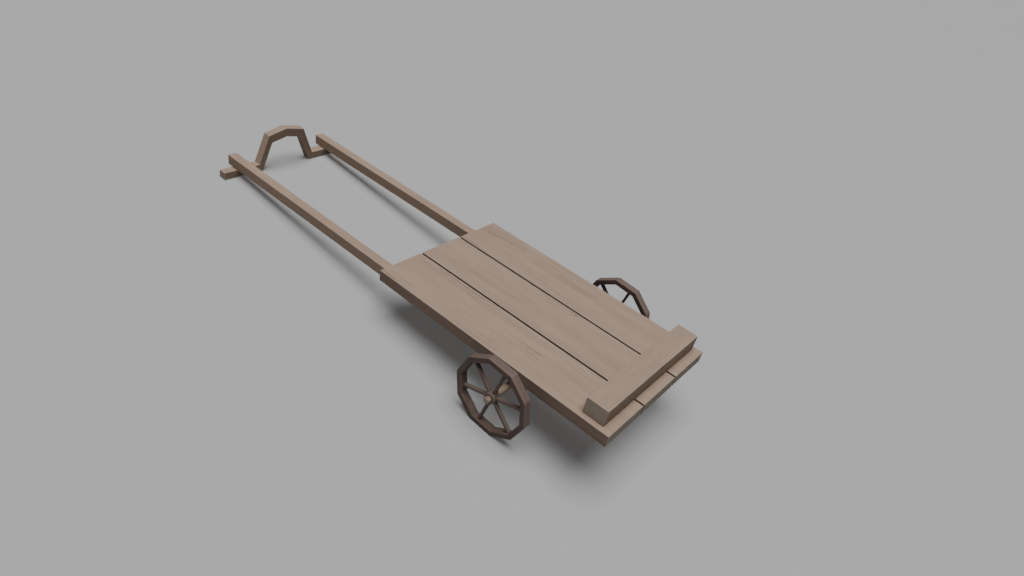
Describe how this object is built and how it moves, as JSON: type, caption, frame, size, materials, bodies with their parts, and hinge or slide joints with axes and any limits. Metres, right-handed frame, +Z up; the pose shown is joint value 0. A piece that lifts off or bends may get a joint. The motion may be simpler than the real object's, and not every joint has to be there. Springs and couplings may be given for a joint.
{
  "type": "two-wheeled flat-bed draught cart",
  "caption": "Low flat-bed draught cart of thick planks on spoked wheels, with long shafts, a yoke bar bent into a neck arch and a raised cross block at the rear.",
  "frame": {"origin": "on the floor, at the middle of the whole cart's footprint box, as it stands parked on its wheels and its yoke bar", "axes": "+X forward from the deck towards the yoke, +Y to the cart's left, +Z up; the deck and shafts slope 4.49 degrees down towards +X"},
  "size_m": [4.1804, 1.617, 0.6772],
  "materials": {
    "deck_wood": "bare weathered sawn timber, grey-brown, matt",
    "frame_wood": "bare weathered sawn timber, a little browner than the deck, matt",
    "wheel_wood": "dark weathered hardwood, matt",
    "pin_wood": "turned peg wood, matt"
  },
  "bodies": {
    "cart": {"deck_plank_left": "deck_wood", "deck_plank_centre": "deck_wood", "deck_plank_right": "deck_wood", "rear_block": "deck_wood", "shaft_left": "frame_wood", "shaft_right": "frame_wood", "bearer_rear": "frame_wood", "bearer_middle": "frame_wood", "bearer_front": "frame_wood", "yoke": "frame_wood", "axle": "frame_wood", "axle_block_left": "frame_wood", "axle_block_right": "frame_wood", "linchpin_left": "pin_wood", "linchpin_right": "pin_wood"},
    "wheel_left": {"wheel_left_hub": "wheel_wood", "wheel_left_spoke_1": "wheel_wood", "wheel_left_spoke_2": "wheel_wood", "wheel_left_spoke_3": "wheel_wood", "wheel_left_spoke_4": "wheel_wood", "wheel_left_spoke_5": "wheel_wood", "wheel_left_spoke_6": "wheel_wood", "wheel_left_felloe_1": "wheel_wood", "wheel_left_felloe_2": "wheel_wood", "wheel_left_felloe_3": "wheel_wood"},
    "wheel_right": {"wheel_right_hub": "wheel_wood", "wheel_right_spoke_1": "wheel_wood", "wheel_right_spoke_2": "wheel_wood", "wheel_right_spoke_3": "wheel_wood", "wheel_right_spoke_4": "wheel_wood", "wheel_right_spoke_5": "wheel_wood", "wheel_right_spoke_6": "wheel_wood", "wheel_right_felloe_1": "wheel_wood", "wheel_right_felloe_2": "wheel_wood", "wheel_right_felloe_3": "wheel_wood"}
  },
  "joints": [
    {"name": "wheel_left_spin", "type": "hinge", "parent": "cart", "child": "wheel_left", "pos_m": [-1.31861, 0.7425, 0.28722], "axis": [0, 1, 0], "continuous": true},
    {"name": "wheel_right_spin", "type": "hinge", "parent": "cart", "child": "wheel_right", "pos_m": [-1.31861, -0.7425, 0.28722], "axis": [0, 1, 0], "continuous": true}
  ]
}
